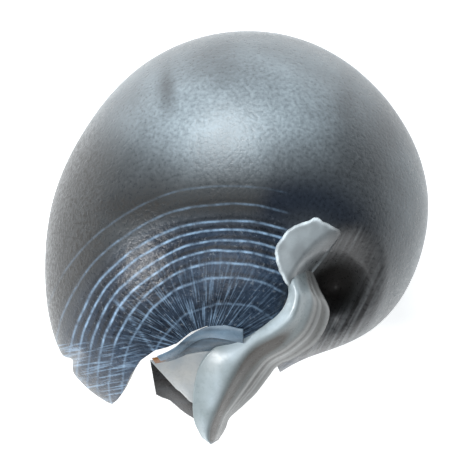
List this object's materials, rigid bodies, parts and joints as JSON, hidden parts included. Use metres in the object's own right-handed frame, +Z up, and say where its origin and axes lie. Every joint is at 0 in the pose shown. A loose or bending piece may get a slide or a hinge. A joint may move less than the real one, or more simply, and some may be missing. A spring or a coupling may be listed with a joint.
{
  "type": "moon snail shell",
  "caption": "Round sea snail shell, worn blue-grey, with a broken mouth, a pale pointed inner lip and a deep hollow beside it.",
  "frame": {"origin": "middle of the bounding box's bottom, on the surface the shell rests on", "axes": "+Z up from the worn resting face on the back of the body whorl; -Y towards the pointed end of the inner lip and the broken mouth; +X towards the hollow beside the inner lip"},
  "size_m": [0.0724, 0.079, 0.0616],
  "materials": {
    "shell": "worn satin shell, blue-grey to navy with pale spiral lines and a pale glossy inner lip"
  },
  "bodies": {
    "root": {"shell": "shell"}
  },
  "joints": []
}
